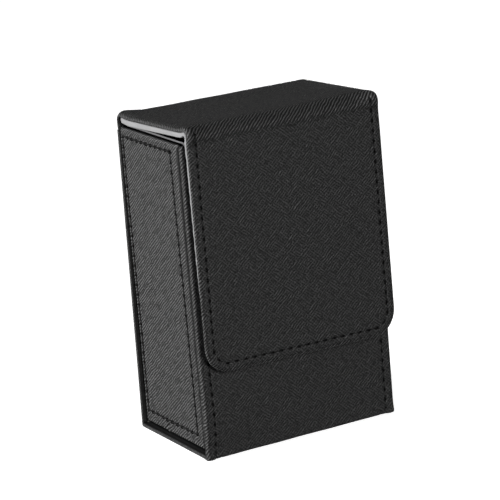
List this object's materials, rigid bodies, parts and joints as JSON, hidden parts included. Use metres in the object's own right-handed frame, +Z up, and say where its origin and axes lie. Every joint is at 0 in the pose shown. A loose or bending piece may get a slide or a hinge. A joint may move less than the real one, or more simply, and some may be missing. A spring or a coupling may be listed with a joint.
{
  "type": "card deck box",
  "caption": "Upright box for a deck of cards, covered in black cross-grain leather and lined in grey, with a hinged lid and a magnetic flap over the front wall.",
  "frame": {"origin": "middle of the base, on the face the box stands on", "axes": "+X to the right of someone facing the flap, +Y from the flap towards the hinge, +Z up"},
  "size_m": [0.0734, 0.0521, 0.1119],
  "materials": {
    "black_leather": "satin cross-grain imitation leather",
    "grey_board": "matt pressed greyboard",
    "grey_lining": "soft microfibre",
    "magnet": "plated disc",
    "black_thread": "twisted polyester thread"
  },
  "bodies": {
    "box": {"box_leather": "black_leather", "front_board": "grey_board", "base_board": "grey_board", "back_board": "grey_board", "front_lining": "grey_lining", "back_lining": "grey_lining", "base_lining": "grey_lining", "front_magnet_left": "magnet", "front_magnet_right": "magnet", "front_thread_left": "black_thread", "front_thread_right": "black_thread", "back_thread_left": "black_thread", "back_thread_right": "black_thread", "side_leather_left": "black_leather", "side_board_left": "grey_board", "side_lining_left": "grey_lining", "side_thread_left": "black_thread", "side_leather_right": "black_leather", "side_board_right": "grey_board", "side_lining_right": "grey_lining", "side_thread_right": "black_thread"},
    "lid": {"lid_leather": "black_leather", "lid_board": "grey_board", "lid_lining": "grey_lining"},
    "flap": {"flap_leather": "black_leather", "flap_board": "grey_board", "flap_lining": "grey_lining", "flap_thread": "black_thread", "flap_magnet_left": "magnet", "flap_magnet_right": "magnet"}
  },
  "joints": [
    {"name": "lid_hinge", "type": "hinge", "parent": "box", "child": "lid", "pos_m": [0, 0.02237, 0.10943], "axis": [-1, 0, 0], "range_deg": [0, 210]},
    {"name": "flap_hinge", "type": "hinge", "parent": "lid", "child": "flap", "pos_m": [0, -0.02465, 0.11098], "axis": [-1, 0, 0], "range_deg": [0, 120]}
  ]
}
